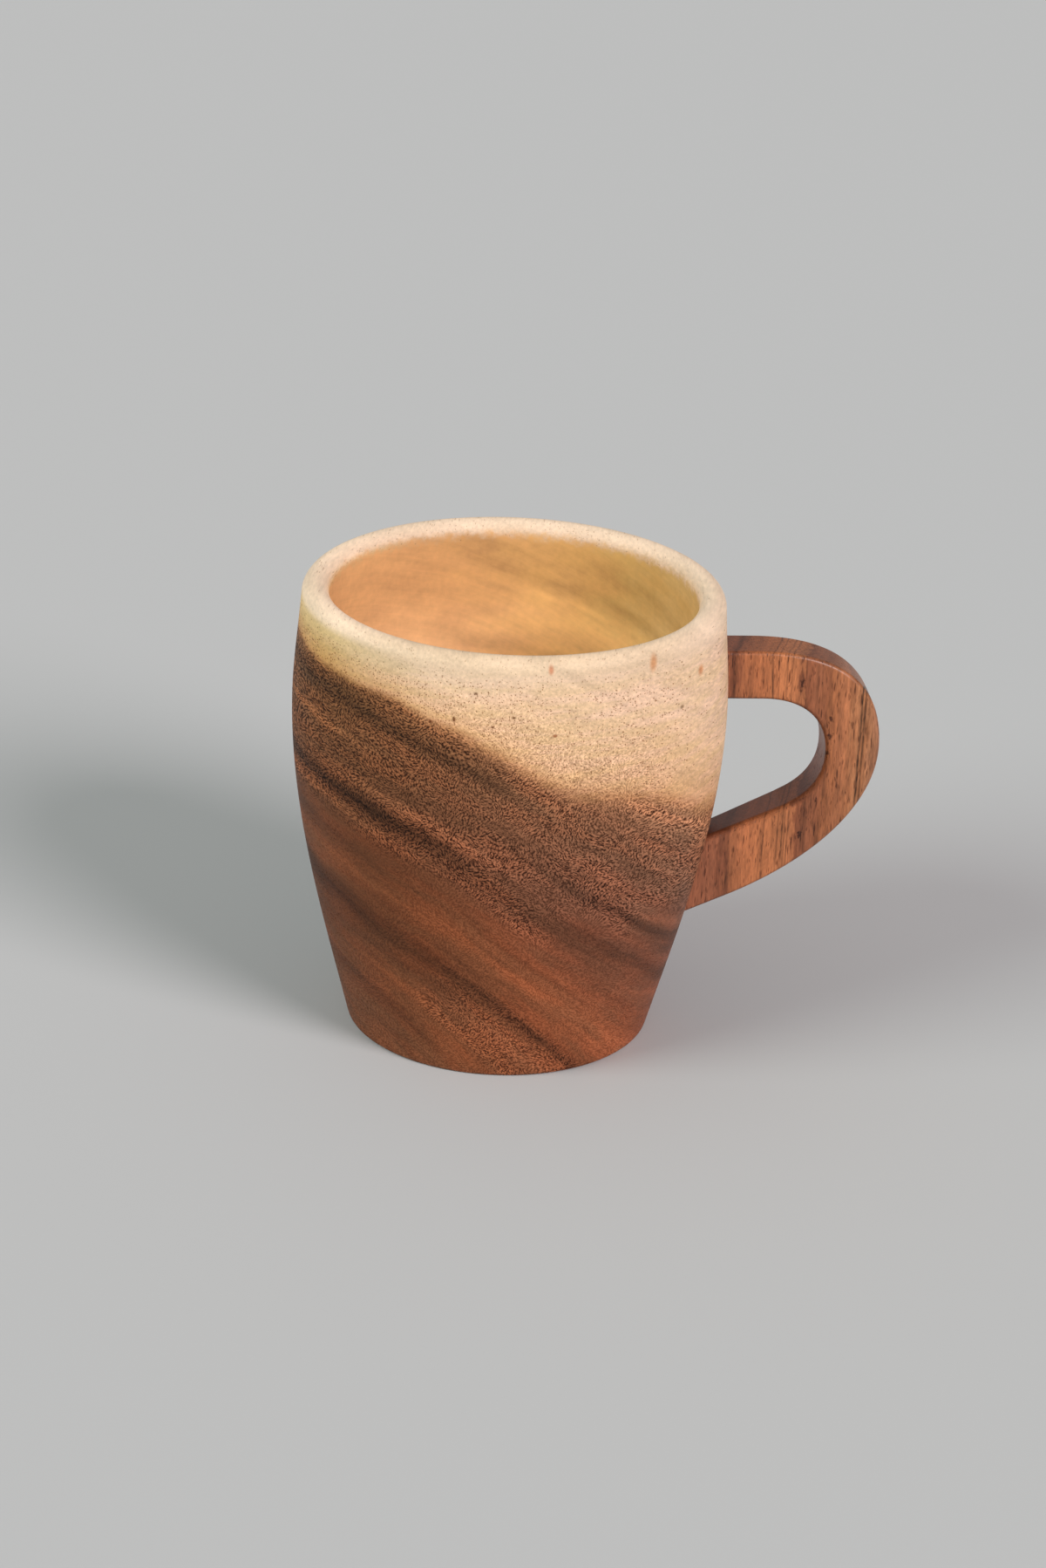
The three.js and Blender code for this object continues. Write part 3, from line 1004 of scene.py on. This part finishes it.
def plank_ring(out):
    """Distance from the pith at a place on the front of the plank, in millimetres."""
    return math.hypot(out - PLANK_PITH.x / MM, (HANDLE_LOW.y - PLANK_PITH.y) / MM)


def plank_wood(shared):
    """Orange-brown wood with upright lines and dashes, darker on its end grain, with painted shade where it
    faces into the opening.
    """
    material, tree, shader = new_material("plank_wood")
    place = object_place(tree)
    timber = timber_coordinates(tree, PLANK_PITH, (0, 0, 0))
    ring = placed(tree, shared["growth_rings"], Timber=timber, Wander=PLANK_WANDER)
    end_grain_and_shade = attribute(tree, "end_grain_and_shade")

    ragged = noise(tree, drawn_out(tree, timber, 0.25), scale=0.7, detail=3)
    radius = plus(tree, ring["Radius"], swing(tree, ragged, PLANK_RAGGED))
    fine = noise(tree, drawn_out(tree, timber, 0.16), scale=2.6, roughness=0.6)
    tone = ring_tone(tree, ring, -0.33, Streaks=1.1, Blotches=0.4, Fibres=1.2)
    tone = plus(tree, tone, swing(tree, fine, width=0.9))
    lines = [(plank_ring(out), *line) for out, *line in PLANK_LINES]
    tone = streaked(tree, shared, tone, ring["Radius"], parts(tree, place)["Z"], lines, LINE_FADE)
    wood = scaled(tree, ramp(tree, radius, [(plank_ring(out), colour) for out, colour in PLANK]), tone)

    cover = step(tree, ring["Blotches"], *DASH_COVER)
    long = placed(tree, shared["fine_vessels"], Timber=timber, Spacing=0.55, Length=8, Cover=cover)["Vessels"]
    short = placed(tree, shared["fine_vessels"], Timber=timber, Spacing=0.36, Length=6, Cover=0.3)["Vessels"]
    dashes = larger(tree, long, times(tree, short, SHORT_DASH_STRENGTH))
    dashes = times(tree, dashes, spread(tree, end_grain_and_shade, DASH_LOSS_ON_END_GRAIN, 1))
    wood = tinted(tree, times(tree, dashes, DASH_STRENGTH), wood, DASH_TINT)

    shift = vectors(tree, "SUBTRACT", noise_vector(tree, place, scale=0.9, detail=3), NOISE_MIDDLE)
    shifted = vectors(tree, "MULTIPLY_ADD", shift, KNOT_RAGGED, place)
    wood = flecked(tree, shared, wood, shifted, [(*knot, KNOT_TINT) for knot in PLANK_KNOTS])
    # Darker end grain, and painted shade on the faces in the opening
    wood = tinted(tree, end_grain_and_shade, wood, END_GRAIN_AND_SHADE_TINT)
    wood_finish(tree, shader, wood, dashes, depth=0.12 * MM, shine=0.35, roughness=0.34)
    return material


# The bare wood of the dowels
ROD_PALE = (222, 190, 142)
ROD_DARK = (196, 156, 106)
ROD_DASH_TINT = (0.6, 0.5, 0.4)
ROD_DASH_STRENGTH = 0.6
ROD_WANDER = 1


def dowel_wood(shared):
    """Pale bare wood with short dashes along the pin."""
    material, tree, shader = new_material("dowel_wood")
    timber = timber_coordinates(tree, ROD_PITH, ROD_TURN)
    ring = placed(tree, shared["growth_rings"], Timber=timber, Wander=ROD_WANDER)
    dashes = placed(tree, shared["fine_vessels"], Timber=timber, Spacing=0.5, Length=8, Cover=0.3)["Vessels"]
    pale = mix(tree, ring["Streaks"], srgb(*ROD_PALE), srgb(*ROD_DARK))
    wood = tinted(tree, times(tree, dashes, ROD_DASH_STRENGTH), pale, ROD_DASH_TINT)
    wood_finish(tree, shader, wood, dashes, depth=0.05 * MM, shine=0.2, roughness=0.55)
    return material


# Stage
def floor():
    material, _, shader = new_material("pale_floor")
    shader.inputs["Base Color"].default_value = (FLOOR_GREY, FLOOR_GREY, FLOOR_GREY, 1)
    shader.inputs["Roughness"].default_value = FLOOR_ROUGHNESS
    shape = bmesh.new()
    bmesh.ops.create_grid(shape, x_segments=1, y_segments=1, size=FLOOR_SIZE)
    piece = finished("floor", shape)
    piece.data.materials.append(material)


def direction(turn, height):
    """The direction to a place above the floor, by its turn from the front and its height, both as angles."""
    level = math.cos(height)
    return Vector((math.sin(turn) * level, -math.cos(turn) * level, math.sin(height)))


def camera():
    level_right = Vector((math.cos(VIEW_TURN), math.sin(VIEW_TURN), 0))
    back = direction(VIEW_TURN, VIEW_HEIGHT)
    level_up = back.cross(level_right)
    right = level_right * math.cos(VIEW_ROLL) + level_up * math.sin(VIEW_ROLL)
    up = level_up * math.cos(VIEW_ROLL) - level_right * math.sin(VIEW_ROLL)
    aim = level_right * AIM_RIGHT + Vector((0, 0, AIM_UP))
    data = bpy.data.cameras.new("camera")
    data.sensor_fit = "VERTICAL"
    data.sensor_height = SENSOR
    data.lens = LENS
    data.clip_end = FAR_END
    piece = bpy.data.objects.new("camera", data)
    turned = Matrix((right, up, back)).transposed().to_4x4()
    piece.matrix_world = Matrix.Translation(aim + back * VIEW_DISTANCE) @ turned
    bpy.context.scene.collection.objects.link(piece)
    bpy.context.scene.camera = piece


def soft_light(name, turn, height, softness, strength, colour):
    """A distant soft light; turn is from the camera to its right, softness is how wide the light looks."""
    towards = direction(VIEW_TURN + math.radians(turn), math.radians(height))
    data = bpy.data.lights.new(name, "SUN")
    data.energy = strength
    data.color = colour
    data.angle = math.radians(softness)
    lamp = bpy.data.objects.new(name, data)
    lamp.location = towards
    lamp.rotation_euler = towards.to_track_quat("Z", "Y").to_euler()
    bpy.context.scene.collection.objects.link(lamp)


def sky():
    """White light from all round, stronger from the left."""
    world = bpy.data.worlds.new("studio")
    world.use_nodes = True
    tree = world.node_tree
    background = tree.nodes["Background"]
    inputs = {0: add(tree, "ShaderNodeTexCoord").outputs["Generated"], 1: SKY_LEFTWARD}
    leftward = add(tree, "ShaderNodeVectorMath", inputs, operation="DOT_PRODUCT").outputs["Value"]
    background.inputs["Color"].default_value = (1, 1, 1, 1)
    tree.links.new(plus(tree, leftward, SKY_STRENGTH), background.inputs["Strength"])
    bpy.context.scene.world = world


bpy.context.scene.view_settings.view_transform = "Standard"
camera()
soft_light("right_light", turn=45, height=32, softness=24, strength=2.4, colour=(1, 0.94, 0.955))
soft_light("left_light", turn=-60, height=32, softness=30, strength=1.6, colour=(0.89, 1, 0.955))
sky()
floor()

body = turned_body()
handle = sawn_handle()
for piece, node, slot in ((body, "mug_body", "two_tone_hardwood"), (handle, "handle", "handle_hardwood")):
    drill(piece, "upper_dowel")
    drill(piece, "lower_dowel")
    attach(piece, "root")
    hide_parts(node)
weighted = handle.modifiers.new("flat_faces", "WEIGHTED_NORMAL")
weighted.keep_sharp = True

effects = (growth_rings, worm_grain, fine_vessels, ring_streak, fleck)
shared = {effect.__name__: effect() for effect in effects}
body.data.materials.append(two_tone_wood(shared))
handle.data.materials.append(plank_wood(shared))
pin_wood = dowel_wood(shared)
for name in ("upper_dowel", "lower_dowel"):
    bpy.data.objects[name].material_slots[0].material = pin_wood
